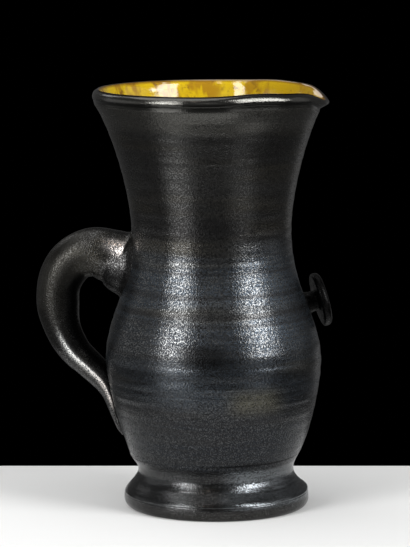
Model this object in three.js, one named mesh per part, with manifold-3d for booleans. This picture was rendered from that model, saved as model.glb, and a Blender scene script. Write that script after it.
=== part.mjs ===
// A stoneware pitcher: a thrown body with a pinched spout, a luted foot, a rolled handle and a knob.
// Millimetres, +Z up. The spout points along +X and the handle along -X. The origin is on the table,
// under the middle of the pitcher's bounding box.

import * as THREE from 'three';
import Module from 'manifold-3d';

// Foot, and the waist above it. The foot's collar is luted to the body at the seam.
const waistHeight = 24.2;
const waistRadius = 48.4;
const seamHeight = 33;
const footRadius = 57.7;
const footEdgeHeight = 7;
const footEdgeFullness = 5;
const footBevelBulge = 1.5;
const standRadius = 55.4;
const standWidth = 7.5;
const footWall = 8.5;
const waistTuck = 8;

// Thrown wall, outside
const bellyRadius = 67.4;
const bellyHeight = 92;
const neckRadius = 49.9;
const neckHeight = 172;
const lipRadius = 71.8;
const pitcherHeight = 260;
const lipThickness = 4.3;
const lipOverhang = 1.4;
const lipDepth = 9.5;
const lipArcStart = -50;
const lipArcEnd = 200;
const glazeBreak = 125;

// How far the outline keeps its direction as it leaves each named point
const riseFromWaist = 20.4;
const riseAngle = 57.6;
const bellyFullnessBelow = 14.3;
const bellyFullnessAbove = 27;
const neckFullnessBelow = 37.3;
const neckFullnessAbove = 23;
const flareLength = 20;
const flareAngle = 59.6;

// Wall and floor
const bellyWall = 5.6;
const lipWall = 4.8;
const floorThickness = 7;
const floorCornerHeight = 16;
const floorCornerWidth = 21;
const floorCornerLean = 5.6;
const glazeThickness = 0.8;

// Spout, pinched into the lip. Widths and places are angles round the pot, in degrees.
const spoutReach = 8;
const spoutReachHeight = 7;
const spoutWidth = 15;
const spoutDrop = 6.9;
const spoutDropWidth = 17;
const spoutDepth = 28;
const pinchDepth = 3.2;
const pinchWidth = 16;
const pinchPlace = 57;
const pinchLift = 1.1;
const lipTilt = 0.4;

// Handle: a round roll that leaves the neck, turns down and runs out along the belly
const tailHeight = 43;
const handleRise = 114.2;
const handleReach = 41;
const gripThickness = 28;
const gripWidth = 26;

// Its stations from the root to the tail, as shares of those sizes: how far it has climbed above the
// tail, how far the roll's centre is off the wall, its thickness in the handle's plane, and its width
const handleStations = [
  { climb: 0.937, off: -0.22, thick: 1.786, wide: 1.538 },
  { climb: 0.95, off: 0.073, thick: 1.5, wide: 1.308 },
  { climb: 0.981, off: 0.293, thick: 1.232, wide: 1.154 },
  { climb: 1, off: 0.585, thick: 1.107, wide: 1.077 },
  { climb: 0.959, off: 0.854, thick: 1.018, wide: 1.019 },
  { climb: 0.849, off: 1, thick: 1, wide: 1 },
  { climb: 0.714, off: 0.915, thick: 0.982, wide: 0.981 },
  { climb: 0.569, off: 0.707, thick: 0.821, wide: 0.885 },
  { climb: 0.46, off: 0.493, thick: 0.729, wide: 0.808 },
  { climb: 0.381, off: 0.268, thick: 0.671, wide: 0.769 },
  { climb: 0.306, off: 0.085, thick: 0.625, wide: 0.75 },
  { climb: 0.219, off: 0.015, thick: 0.446, wide: 0.692 },
  { climb: 0.123, off: 0.01, thick: 0.321, wide: 0.577 },
  { climb: 0.039, off: 0.005, thick: 0.25, wide: 0.442 },
  { climb: 0, off: 0, thick: 0.143, wide: 0.269 },
];

// Knob on the spout's side, its face tilted up a little
const knobHeight = 125.4;
const knobPlace = 16;
const knobTilt = 13.5;
const knobStandOff = 12.8;
const knobRadius = 17;
const knobThickness = 6.4;
const knobEdge = 2;
const knobShoulder = 3.6;
const knobCrown = 0.8;
const knobStemRadius = 6.3;
const knobRootFlare = 2.2;

// Whole pot
const leanAngle = 1.1;
const clearance = 0.3;

// Fineness of the faceted surfaces
const turnSteps = 48;
const wallSteps = 7;
const lipSteps = 5;
const glazedLipSteps = 3;
const cornerSteps = 4;
const footSteps = 6;
const rollSides = 20;
const rollSteps = 34;
const knobSteps = 28;
const knobCurveSteps = 4;

const degrees = THREE.MathUtils.degToRad;
const point = (x, y) => new THREE.Vector2(x, y);

const wasm = await Module();
wasm.setup();

// Outline of the pot's outside, from the waist up to the lip, as radius and height

const lipCentre = point(lipRadius - lipThickness / 2, pitcherHeight - lipThickness / 2);
const lipFoot = point(lipRadius - lipOverhang, pitcherHeight - lipDepth);
const rise = point(Math.cos(degrees(riseAngle)), Math.sin(degrees(riseAngle)));
const flare = point(Math.cos(degrees(flareAngle)), Math.sin(degrees(flareAngle)));

const wallCurves = [
  new THREE.CubicBezierCurve(
    point(waistRadius, waistHeight),
    point(waistRadius, waistHeight).addScaledVector(rise, riseFromWaist),
    point(bellyRadius, bellyHeight - bellyFullnessBelow),
    point(bellyRadius, bellyHeight),
  ),
  new THREE.CubicBezierCurve(
    point(bellyRadius, bellyHeight),
    point(bellyRadius, bellyHeight + bellyFullnessAbove),
    point(neckRadius, neckHeight - neckFullnessBelow),
    point(neckRadius, neckHeight),
  ),
  new THREE.CubicBezierCurve(
    point(neckRadius, neckHeight),
    point(neckRadius, neckHeight + neckFullnessAbove),
    lipFoot.clone().addScaledVector(flare, -flareLength),
    lipFoot,
  ),
];

// Points on the wall at a depth below its outer face
function wallLine(depthAt) {
  const line = [];
  wallCurves.forEach((curve, part) => {
    for (let step = part ? 1 : 0; step <= wallSteps; step++) {
      const along = step / wallSteps;
      const tangent = curve.getTangent(along);
      const inward = point(-tangent.y, tangent.x);
      const climbed = (part + along) / wallCurves.length;
      line.push(curve.getPoint(along).addScaledVector(inward, depthAt(climbed)));
    }
  });
  return line;
}

// The wall thins steadily from the belly to the lip
const wallDepth = (climbed) => THREE.MathUtils.lerp(bellyWall, lipWall, climbed);

// Radius of the outer wall at a height, read off the outline
const outerLine = wallLine(() => 0);

function wallRadius(height) {
  const above = outerLine.slice(1, -1).filter((p) => p.y < height).length;
  const [low, high] = outerLine.slice(above, above + 2);
  return THREE.MathUtils.mapLinear(height, low.y, high.y, low.x, high.x);
}

// The rolled lip between two angles round its section
function lipArc(from, to, steps) {
  const arc = new THREE.Path();
  const [start, end] = [degrees(from), degrees(to)];
  arc.absarc(lipCentre.x, lipCentre.y, lipThickness / 2, start, end, from > to);
  return arc.getPoints(steps);
}

// Inside line from the middle of the floor, round the corner, up the wall and onto the lip
function insideLine() {
  const floor = seamHeight + clearance + floorThickness;
  const upright = wallLine(wallDepth).filter((p) => p.y > floor + floorCornerHeight);
  const corner = new THREE.QuadraticBezierCurve(
    point(upright[0].x - floorCornerWidth, floor),
    point(upright[0].x - floorCornerLean, floor),
    upright[0],
  );
  const lip = lipArc(lipArcEnd, glazeBreak, glazedLipSteps);
  return [point(0, floor), ...corner.getPoints(cornerSteps).slice(0, -1), ...upright, ...lip];
}

// The same line moved sideways to its left, with mitred corners
function offsetLine(line, distance) {
  const normals = line.slice(1).map((p, i) => {
    const along = p.clone().sub(line[i]).normalize();
    return point(-along.y, along.x);
  });
  return line.map((p, i) => {
    const before = normals[Math.max(i - 1, 0)];
    const after = normals[Math.min(i, normals.length - 1)];
    const mitre = before.clone().add(after).divideScalar(1 + before.dot(after));
    return p.clone().addScaledVector(mitre, distance);
  });
}

// The lip slides down the wall and is drawn out into a spout, between two pinches. The slide and the
// pinches fade out down the neck, and only the lip itself is drawn out.
function pinch(position) {
  const angle = Math.atan2(position.y, position.x);
  const away = Math.abs(THREE.MathUtils.radToDeg(angle));
  const bell = (offset, width) => Math.exp(-((offset / width) ** 2));
  const fade = (depth) => (
    THREE.MathUtils.smoothstep(position.z, pitcherHeight - depth, pitcherHeight)
  );
  const sides = bell(away - pinchPlace, pinchWidth) * fade(spoutDepth);
  const tilt = lipTilt * Math.cos(angle) * fade(spoutDepth);
  const slide = spoutDrop * bell(away, spoutDropWidth) * fade(spoutDepth);
  const radial = spoutReach * bell(away, spoutWidth) * fade(spoutReachHeight)
    - pinchDepth * sides
    + wallRadius(position.z - slide) - wallRadius(position.z);
  position.x += Math.cos(angle) * radial;
  position.y += Math.sin(angle) * radial;
  position.z += pinchLift * sides + tilt - slide;
}

function moveVertices(geometry, move) {
  const positions = geometry.getAttribute('position');
  const position = new THREE.Vector3();
  for (let i = 0; i < positions.count; i++) {
    position.fromBufferAttribute(positions, i);
    move(position);
    positions.setXYZ(i, position.x, position.y, position.z);
  }
  return geometry;
}

// A mesh of the named corners and faces
function surface(positions, faces) {
  const geometry = new THREE.BufferGeometry();
  geometry.setAttribute('position', new THREE.Float32BufferAttribute(positions, 3));
  geometry.setIndex(faces);
  return geometry;
}

// A closed outline turned about the Z axis. Each patch is split from its lower left corner to its
// upper right one, so that the facets of two surfaces that lie one on the other match.
function turn(outline, steps = turnSteps) {
  const positions = [];
  const rings = outline.map(({ x: radius, y: height }) => {
    const first = positions.length / 3;
    const count = radius > 0 ? steps : 1;
    for (let step = 0; step < count; step++) {
      const angle = (2 * Math.PI * step) / steps;
      positions.push(radius * Math.cos(angle), radius * Math.sin(angle), height);
    }
    return (step) => first + (step % count);
  });
  const faces = [];
  rings.forEach((ring, i) => {
    const following = (i + 1) % rings.length;
    const climbs = outline[following].y > outline[i].y;
    for (let step = 0; step < steps; step++) {
      const [left, right] = [ring(step), ring(step + 1)];
      const [nextLeft, nextRight] = [rings[following](step), rings[following](step + 1)];
      const split = climbs
        ? [[left, right, nextRight], [left, nextRight, nextLeft]]
        : [[left, right, nextLeft], [right, nextRight, nextLeft]];
      faces.push(...split.filter((face) => new Set(face).size === 3).flat());
    }
  });
  return surface(positions, faces);
}

function toSolid(geometry) {
  const vertProperties = new Float32Array(geometry.getAttribute('position').array);
  const triVerts = new Uint32Array(geometry.index.array);
  return new wasm.Manifold(new wasm.Mesh({ numProp: 3, vertProperties, triVerts }));
}

function toGeometry(solid) {
  const mesh = solid.getMesh();
  return surface(mesh.vertProperties, Array.from(mesh.triVerts));
}

// Sub-parts

function makeBody() {
  const bottom = seamHeight + clearance;
  const outside = outerLine.filter((p) => p.y > bottom);
  outside.unshift(point(wallRadius(bottom), bottom));
  const lip = lipArc(lipArcStart, glazeBreak, lipSteps).slice(0, -1);
  const inside = insideLine().reverse();
  const outline = [point(0, bottom), ...outside, ...lip, ...inside];
  return moveVertices(turn(outline), pinch);
}

function makeInteriorGlaze() {
  const outer = offsetLine(insideLine(), clearance);
  const inner = offsetLine(insideLine(), clearance + glazeThickness).reverse();
  return moveVertices(turn([...outer, ...inner]), pinch);
}

function makeFoot() {
  const outline = new THREE.Path();
  outline.moveTo(standRadius - standWidth, 0);
  outline.lineTo(standRadius, 0);
  outline.quadraticCurveTo(footRadius, footBevelBulge, footRadius, footEdgeHeight);
  outline.bezierCurveTo(
    footRadius, footEdgeHeight + footEdgeFullness,
    waistRadius, waistHeight - waistTuck,
    waistRadius, waistHeight,
  );
  outerLine.slice(1).filter((p) => p.y < seamHeight).forEach((p) => outline.lineTo(p.x, p.y));
  outline.lineTo(wallRadius(seamHeight), seamHeight);
  outline.lineTo(wallRadius(seamHeight) - footWall, seamHeight);
  outline.quadraticCurveTo(
    waistRadius - footWall, seamHeight / 2,
    standRadius - standWidth, 0,
  );
  return turn(outline.getPoints(footSteps));
}

// What a piece luted onto the wall is cut back to: the wall, grown by the clearance
function wallCutter() {
  const grown = wallLine(() => -clearance);
  const top = point(0, grown.at(-1).y);
  return toSolid(turn([point(0, grown[0].y), ...grown, top]));
}

function makeHandle(cutter) {
  const centres = handleStations.map(({ climb, off }) => {
    const height = tailHeight + climb * handleRise;
    return new THREE.Vector3(-wallRadius(height) - off * handleReach, 0, height);
  });
  const path = new THREE.CatmullRomCurve3(centres, false, 'centripetal');
  const sizes = new THREE.CatmullRomCurve3(handleStations.map(({ thick, wide }) => (
    new THREE.Vector3(thick * gripThickness / 2, wide * gripWidth / 2, 0)
  )), false, 'centripetal');
  const across = new THREE.Vector3(0, 1, 0);
  const positions = [];
  for (let step = 0; step <= rollSteps; step++) {
    const along = step / rollSteps;
    const centre = path.getPoint(along);
    const outward = new THREE.Vector3().crossVectors(path.getTangent(along), across);
    const size = sizes.getPoint(along);
    for (let side = 0; side < rollSides; side++) {
      const angle = (2 * Math.PI * side) / rollSides;
      positions.push(...centre.clone()
        .addScaledVector(outward, size.x * Math.cos(angle))
        .addScaledVector(across, size.y * Math.sin(angle)));
    }
  }
  positions.push(...path.getPoint(0), ...path.getPoint(1));
  const faces = [];
  for (let side = 0; side < rollSides; side++) {
    const next = (side + 1) % rollSides;
    const last = rollSteps * rollSides;
    for (let ring = 0; ring < last; ring += rollSides) {
      faces.push(ring + next, ring + side, ring + rollSides + side);
      faces.push(ring + next, ring + rollSides + side, ring + rollSides + next);
    }
    faces.push(side, next, last + rollSides);
    faces.push(last + next, last + side, last + rollSides + 1);
  }
  return toGeometry(toSolid(surface(positions, faces)).subtract(cutter));
}

function makeKnob(cutter) {
  const head = knobStandOff - knobThickness;
  const shoulder = knobStandOff - knobCrown;
  const root = -knobStemRadius;
  const outline = new THREE.Path();
  outline.moveTo(0, root);
  outline.lineTo(knobStemRadius + knobRootFlare, root);
  outline.quadraticCurveTo(knobStemRadius, 0, knobStemRadius, head);
  outline.lineTo(knobRadius - knobEdge, head);
  outline.quadraticCurveTo(knobRadius, head, knobRadius, head + knobEdge);
  outline.quadraticCurveTo(knobRadius, shoulder, knobRadius - knobShoulder, shoulder);
  outline.quadraticCurveTo(knobRadius / 2, knobStandOff, 0, knobStandOff);
  const knob = turn(outline.getPoints(knobCurveSteps), knobSteps);
  knob.rotateY(degrees(90 - knobTilt));
  knob.translate(wallRadius(knobHeight), 0, knobHeight);
  knob.rotateZ(degrees(knobPlace));
  return toGeometry(toSolid(knob).subtract(cutter));
}

// Assembly

const blackLustre = { color: 0x2b2c2d, roughness: 0.32, metalness: 0.6 };
const yellowGlaze = { color: 0xc49a26, roughness: 0.12, metalness: 0 };

const lean = new THREE.Matrix4().makeShear(0, 0, 0, 0, -Math.tan(degrees(leanAngle)), 0);
const cutter = wallCutter();
const pitcher = new THREE.Group();

function add(name, geometry, finish) {
  geometry.applyMatrix4(lean);
  const mesh = new THREE.Mesh(geometry, new THREE.MeshStandardMaterial(finish));
  mesh.name = name;
  pitcher.add(mesh);
}

add('thrown_body', makeBody(), blackLustre);
add('pedestal_foot', makeFoot(), blackLustre);
add('handle', makeHandle(cutter), blackLustre);
add('pouring_knob', makeKnob(cutter), blackLustre);
add('interior_glaze', makeInteriorGlaze(), yellowGlaze);

const middle = new THREE.Box3().setFromObject(pitcher).getCenter(new THREE.Vector3());
pitcher.position.set(-middle.x, -middle.y, 0);

export default pitcher;
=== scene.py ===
# A black lustre pitcher with a yellow glazed inside, standing on a white table.
# Metres, +Z up. The spout points along +X and the handle along -X.

import math

import bmesh
import bpy
import numpy as np
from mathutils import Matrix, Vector


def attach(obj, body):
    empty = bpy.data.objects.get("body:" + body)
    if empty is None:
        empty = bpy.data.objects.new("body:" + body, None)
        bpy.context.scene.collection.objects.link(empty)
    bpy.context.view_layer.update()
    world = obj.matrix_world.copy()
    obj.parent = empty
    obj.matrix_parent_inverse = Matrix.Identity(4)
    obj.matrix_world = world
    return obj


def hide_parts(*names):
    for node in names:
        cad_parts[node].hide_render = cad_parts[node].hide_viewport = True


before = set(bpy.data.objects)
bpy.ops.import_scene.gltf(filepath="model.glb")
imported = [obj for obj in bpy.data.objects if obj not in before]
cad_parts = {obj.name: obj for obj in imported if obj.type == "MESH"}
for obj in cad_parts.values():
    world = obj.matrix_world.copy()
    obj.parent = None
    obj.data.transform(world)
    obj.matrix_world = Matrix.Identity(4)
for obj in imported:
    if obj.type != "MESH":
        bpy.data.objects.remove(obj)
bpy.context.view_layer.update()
MM = 0.001

# Sizes in millimetres and degrees, as in the part's source

FOOT_AXIS_X = 21.23
LEAN = math.tan(math.radians(1.1))

WAIST_HEIGHT, WAIST_RADIUS, SEAM_HEIGHT = 24.2, 48.4, 33.0
FOOT_RADIUS = 57.7
STAND_RADIUS, STAND_WIDTH = 55.4, 7.5
FOOT_WALL = 8.5

BELLY_RADIUS, BELLY_HEIGHT = 67.4, 92.0
NECK_RADIUS, NECK_HEIGHT = 49.9, 172.0
LIP_RADIUS, PITCHER_HEIGHT, LIP_THICKNESS = 71.8, 260.0, 4.3
LIP_OVERHANG, LIP_DEPTH = 1.4, 9.5
RISE_FROM_WAIST, RISE_ANGLE = 20.4, 57.6
BELLY_BELOW, BELLY_ABOVE = 14.3, 27.0
NECK_BELOW, NECK_ABOVE = 37.3, 23.0
FLARE_LENGTH, FLARE_ANGLE = 20.0, 59.6

BELLY_WALL, LIP_WALL = 5.6, 4.8
FLOOR_THICKNESS = 7.0
CORNER_HEIGHT, CORNER_WIDTH, CORNER_LEAN = 16.0, 21.0, 5.6
CLEARANCE, GLAZE = 0.3, 0.8

SPOUT_REACH, SPOUT_REACH_HEIGHT, SPOUT_WIDTH = 8.0, 7.0, 15.0
SPOUT_DROP, SPOUT_DROP_WIDTH, SPOUT_DEPTH = 6.9, 17.0, 28.0
PINCH_DEPTH, PINCH_WIDTH, PINCH_PLACE, PINCH_LIFT = 3.2, 16.0, 57.0, 1.1
LIP_TILT = 0.4

TAIL_HEIGHT, HANDLE_RISE, HANDLE_REACH = 43.0, 114.2, 41.0
GRIP_THICKNESS, GRIP_WIDTH = 28.0, 26.0

# climb, distance off the wall, thickness and width of the handle, as shares of its sizes
HANDLE_STATIONS = [
    (0.937, -0.22, 1.786, 1.538), (0.95, 0.073, 1.5, 1.308), (0.981, 0.293, 1.232, 1.154),
    (1, 0.585, 1.107, 1.077), (0.959, 0.854, 1.018, 1.019), (0.849, 1, 1, 1),
    (0.714, 0.915, 0.982, 0.981), (0.569, 0.707, 0.821, 0.885), (0.46, 0.493, 0.729, 0.808),
    (0.381, 0.268, 0.671, 0.769), (0.306, 0.085, 0.625, 0.75), (0.219, 0.015, 0.446, 0.692),
    (0.123, 0.01, 0.321, 0.577), (0.039, 0.005, 0.25, 0.442), (0, 0, 0.143, 0.269),
]

KNOB_HEIGHT, KNOB_PLACE, KNOB_TILT = 125.4, 16.0, 13.5
KNOB_STAND_OFF, KNOB_RADIUS, KNOB_THICKNESS = 12.8, 17.0, 6.4
KNOB_EDGE, KNOB_SHOULDER, KNOB_CROWN = 2.0, 3.6, 0.8
KNOB_STEM_RADIUS, KNOB_ROOT_FLARE = 6.3, 2.2

# Curves


def bezier(points, count):
    """Points along a Bezier curve of any degree."""
    points = [np.array(p, float) for p in points]
    t = np.linspace(0, 1, count)[:, None]
    level = [p[None, :].repeat(count, 0) for p in points]
    while len(level) > 1:
        level = [a + (b - a) * t for a, b in zip(level, level[1:])]
    return level[0]


def run_along(line):
    """The distance from the line's start to each of its points."""
    return np.concatenate([[0], np.cumsum(np.linalg.norm(np.diff(line, axis=0), axis=1))])


def even(line, spacing):
    """The same line with points at about the given spacing."""
    line = np.array(line, float)
    run = run_along(line)
    count = max(2, int(round(run[-1] / spacing)) + 1)
    at = np.linspace(0, run[-1], count)
    return np.stack([np.interp(at, run, line[:, k]) for k in range(line.shape[1])], 1)


def offset(line, distance):
    """The line moved to its left by a distance, or by one distance for each point."""
    direction = np.gradient(line, axis=0)
    direction /= np.linalg.norm(direction, axis=1)[:, None]
    left = np.stack([-direction[:, 1], direction[:, 0]], 1)
    return line + left * np.reshape(distance, (-1, 1))


def catmull(points, count):
    """Points along a centripetal Catmull-Rom curve through the given points."""
    points = np.array(points, float)
    ends = [2 * points[0] - points[1]], [2 * points[-1] - points[-2]]
    held = np.concatenate([ends[0], points, ends[1]])
    out = []
    for t in np.linspace(0, len(points) - 1, count):
        i = min(int(t), len(points) - 2)
        w = t - i
        a, b, c, d = held[i : i + 4]
        before, middle, after = [
            max(np.linalg.norm(v - u) ** 0.5, 1e-4) for u, v in ((a, b), (b, c), (c, d))
        ]
        leave = (b - a) / before - (c - a) / (before + middle) + (c - b) / middle
        arrive = (c - b) / middle - (d - b) / (middle + after) + (d - c) / after
        leave, arrive = leave * middle, arrive * middle
        out.append(
            (2 * w**3 - 3 * w**2 + 1) * b + (w**3 - 2 * w**2 + w) * leave
            + (3 * w**2 - 2 * w**3) * c + (w**3 - w**2) * arrive
        )
    return np.array(out)


def heading(degrees):
    """A step of one millimetre outwards and up, at an angle above level."""
    angle = math.radians(degrees)
    return np.array([math.cos(angle), math.sin(angle)])


LIP_FOOT = np.array([LIP_RADIUS - LIP_OVERHANG, PITCHER_HEIGHT - LIP_DEPTH])
WAIST = np.array([WAIST_RADIUS, WAIST_HEIGHT])
CURVE_POINTS = 120

WALL = np.concatenate([
    bezier([WAIST, WAIST + heading(RISE_ANGLE) * RISE_FROM_WAIST,
            (BELLY_RADIUS, BELLY_HEIGHT - BELLY_BELOW), (BELLY_RADIUS, BELLY_HEIGHT)],
           CURVE_POINTS),
    bezier([(BELLY_RADIUS, BELLY_HEIGHT), (BELLY_RADIUS, BELLY_HEIGHT + BELLY_ABOVE),
            (NECK_RADIUS, NECK_HEIGHT - NECK_BELOW), (NECK_RADIUS, NECK_HEIGHT)],
           CURVE_POINTS)[1:],
    bezier([(NECK_RADIUS, NECK_HEIGHT), (NECK_RADIUS, NECK_HEIGHT + NECK_ABOVE),
            LIP_FOOT - heading(FLARE_ANGLE) * FLARE_LENGTH, LIP_FOOT], CURVE_POINTS)[1:],
])


def wall_radius(height):
    """Radius of the outer wall at a height, in millimetres."""
    height = np.asarray(height, float)
    slope = (WALL[-1, 0] - WALL[-2, 0]) / (WALL[-1, 1] - WALL[-2, 1])
    above = np.maximum(height - WALL[-1, 1], 0) * slope
    return np.interp(height, WALL[:, 1], WALL[:, 0]) + above


def smoothstep(x, low, high):
    """Nought below the low end, one above the high end, and a smooth step between them."""
    t = np.clip((x - low) / (high - low), 0, 1)
    return t * t * (3 - 2 * t)


def between(x, rise, fall):
    """Rises from nought to one over the first span and falls back over the second."""
    return smoothstep(x, *rise) * (1 - smoothstep(x, *fall))


def bell(x, middle, width):
    """One in the middle, dying away to both sides."""
    return np.exp(-(((x - middle) / width) ** 2))


def pinch(points):
    """Slides the lip down and draws it out into the spout, between two pinches."""
    x, y, z = points.T
    angle = np.arctan2(y, x)
    away = np.abs(np.degrees(angle))

    def fade(depth):
        return smoothstep(z, PITCHER_HEIGHT - depth, PITCHER_HEIGHT)

    sides = bell(away, PINCH_PLACE, PINCH_WIDTH) * fade(SPOUT_DEPTH)
    tilt = LIP_TILT * np.cos(angle) * fade(SPOUT_DEPTH)
    slide = SPOUT_DROP * bell(away, 0, SPOUT_DROP_WIDTH) * fade(SPOUT_DEPTH)
    radial = (
        SPOUT_REACH * bell(away, 0, SPOUT_WIDTH) * fade(SPOUT_REACH_HEIGHT)
        - PINCH_DEPTH * sides + wall_radius(z - slide) - wall_radius(z)
    )
    return np.stack([
        x + np.cos(angle) * radial,
        y + np.sin(angle) * radial,
        z + PINCH_LIFT * sides + tilt - slide,
    ], 1)


def place(points):
    """Leans the pot over towards its handle and puts it in the part's frame."""
    moved = np.array(points, float)
    moved[:, 0] += FOOT_AXIS_X - LEAN * moved[:, 2]
    return moved * MM


# Unevenness made by hand. A groove is its height, width and depth, and a minus stands out.

SEAM_GAP, SEAM_DEPTH = 0.012, 0.35
SEAM_FRONT, SEAM_SPREAD = math.radians(-60), 0.50
# SEAM_SHADE_WIDTH is the width of the painted shade along the seam
SEAM_SHADE_WIDTH, SEAM_RISE = 0.9, 1.2
RING_SLOPE = 0.075
OVAL, THREE_SIDED, WALL_SHRINK = 0.22, 0.16, 0.3
WALL_GROOVES = [
    (244.5, 0.8, 0.10), (231.5, 0.9, -0.07), (221.5, 0.8, 0.05), (206, 1.1, 0.06),
    (186, 1.2, 0.05), (158, 1.1, 0.07), (137.4, 1.5, 0.13), (115.5, 1.4, -0.08),
    (109.2, 1.6, 0.18), (70, 1.2, 0.05), (52, 1.4, 0.05),
]


def waves(seed, count, low, high):
    """A fixed set of sine waves for smooth unevenness: frequencies, phases and heights."""
    rng = np.random.default_rng(seed)
    frequency = np.exp(rng.uniform(np.log(low), np.log(high), count))
    phase = rng.uniform(0, 2 * np.pi, count)
    return frequency, phase, rng.uniform(0.5, 1, count) / count**0.5


RING_WAVES = waves(11, 14, 2 * np.pi / 11, 2 * np.pi / 2.6)
DRIFT_WAVES = waves(12, 6, 0.02, 0.09)


def throwing_lines(height, angle):
    """Finger ridges round the pot, in millimetres, each rising a little as it goes round."""
    climb = np.sin(angle + 0.8) * 0.35 + np.sin(2 * angle + 2.1) * 0.15
    total = np.zeros_like(height)
    for frequency, phase, size in zip(*RING_WAVES):
        total += size / frequency * np.sin(frequency * (height + climb) + phase)
    swell = 0
    for frequency, phase, size in zip(*DRIFT_WAVES):
        swell = swell + size * np.sin(frequency * height + phase)
    return total * RING_SLOPE * (1 + 0.4 * swell)


def unevenness(height, angle):
    """How far the outer wall departs from its outline, in millimetres."""
    out = throwing_lines(height, angle)
    for at, width, depth in WALL_GROOVES:
        slant = 0.5 * np.sin(angle + at)
        out -= depth * bell(height, at + slant, width)
    out += OVAL * np.cos(2 * angle + 0.9 + height / 60)
    out += THREE_SIDED * np.cos(3 * angle + height / 35)
    out -= WALL_SHRINK
    return out * between(height, (SEAM_HEIGHT, SEAM_HEIGHT + 5),
                         (PITCHER_HEIGHT - 14, PITCHER_HEIGHT - 7))


def seam_shift(height, angle):
    """The seam between foot and body runs a little higher on the spout's side."""
    shift = SEAM_RISE * np.cos(angle) + 0.25 * np.sin(3 * angle + 1)
    return shift * bell(height, SEAM_HEIGHT, 7)


def seam_strength(height, angle, width):
    """One where the pressed line between foot and body is strongest, at the front right."""
    turn = (angle - SEAM_FRONT + np.pi) % (2 * np.pi) - np.pi
    strength = 0.15 + 0.85 * bell(turn, 0, SEAM_SPREAD)
    return strength * bell(height, SEAM_HEIGHT, width)


def seam_cut(height, angle):
    """How far the pressed line between foot and body moves the wall outwards."""
    return -SEAM_DEPTH * seam_strength(height, angle, 1.0)


# Meshes

POT_STEPS, KNOB_STEPS = 160, 72
HANDLE_RINGS, HANDLE_SIDES = 150, 44


def mesh_piece(name, points, faces, material, values=None):
    """A smooth-shaded piece from points in millimetres in the pot's own upright frame."""
    mesh = bpy.data.meshes.new(name)
    mesh.from_pydata(place(points).tolist(), [], faces)
    mesh.validate()
    for polygon in mesh.polygons:
        polygon.use_smooth = True
    for key, numbers in (values or {}).items():
        attribute = mesh.attributes.new(key, "FLOAT", "POINT")
        attribute.data.foreach_set("value", np.asarray(numbers, np.float32))
    mesh.materials.append(material)
    piece = bpy.data.objects.new(name, mesh)
    bpy.context.scene.collection.objects.link(piece)
    bm = bmesh.new()
    bm.from_mesh(mesh)
    bmesh.ops.recalc_face_normals(bm, faces=bm.faces)
    bm.to_mesh(mesh)
    bm.free()
    return piece


def turned(outline, steps):
    """Points and faces of an outline turned about the Z axis, and each point's outline index."""
    points, faces, rings, index = [], [], [], []
    for i, (radius, height) in enumerate(outline):
        first = len(points)
        count = steps if radius > 1e-6 else 1
        for step in range(count):
            angle = 2 * math.pi * step / steps
            points.append((radius * math.cos(angle), radius * math.sin(angle), height))
            index.append(i)
        rings.append((first, count))
    for (a, na), (b, nb) in zip(rings, rings[1:] + rings[:1]):
        for step in range(steps):
            corners = [a + step % na, a + (step + 1) % na, b + (step + 1) % nb, b + step % nb]
            corners = list(dict.fromkeys(corners))
            if len(corners) > 2:
                faces.append(corners)
    return np.array(points), faces, np.array(index)


def radially(points, amount):
    """Points moved away from the Z axis by an amount in millimetres."""
    radius = np.hypot(points[:, 0], points[:, 1])
    scale = np.where(radius > 1e-6, (radius + amount) / np.maximum(radius, 1e-6), 1)
    moved = points.copy()
    moved[:, :2] *= scale[:, None]
    return moved


def above_wall(points, depth):
    """Points moved out until none is further under the outer wall than a depth."""
    radius = np.hypot(points[:, 0], points[:, 1])
    return radially(points, np.maximum(wall_radius(points[:, 2]) - depth - radius, 0))


def wall_depth(height):
    """Thickness of the wall, a little less towards the lip."""
    climbed = np.interp(height, [WAIST_HEIGHT, PITCHER_HEIGHT], [0, 1])
    return BELLY_WALL + (LIP_WALL - BELLY_WALL) * climbed


LIP_CREST = np.array([LIP_RADIUS - LIP_THICKNESS + 1.15, PITCHER_HEIGHT])
LIP_BEAD_HEIGHT, LIP_BEAD_START, LIP_BEAD_END, LIP_BEAD_POINTS = 4.0, -22.0, 96.0, 24
# CREASE_SHADE_STRENGTH sets the painted shade under the lip; CREASE_POINTS is how many roll points
# get it
CREASE_POINTS, CREASE_SHADE_STRENGTH = 4, 0.7
MOUTH_EDGE = np.array([LIP_RADIUS - LIP_THICKNESS - 0.15, PITCHER_HEIGHT - 2.6])
MOUTH_FACE_START, MOUTH_FACE_ANGLE = 226.0, 72.0
INSIDE_SPACING, OUTSIDE_SPACING = 2.4, 0.95


def lip_bead():
    """The rounded lip from its tight underside to its crest."""
    angles = np.radians(np.linspace(LIP_BEAD_START, LIP_BEAD_END, LIP_BEAD_POINTS))
    wide, tall = LIP_RADIUS - LIP_CREST[0] + 0.35, LIP_BEAD_HEIGHT
    centre = np.array([LIP_RADIUS - wide, PITCHER_HEIGHT - tall])
    bead = centre + np.stack([wide * np.cos(angles), tall * np.sin(angles)], 1)
    bead[:, 1] = np.minimum(bead[:, 1], PITCHER_HEIGHT)
    return bead[bead[:, 0] > LIP_CREST[0] + 0.02]


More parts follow.
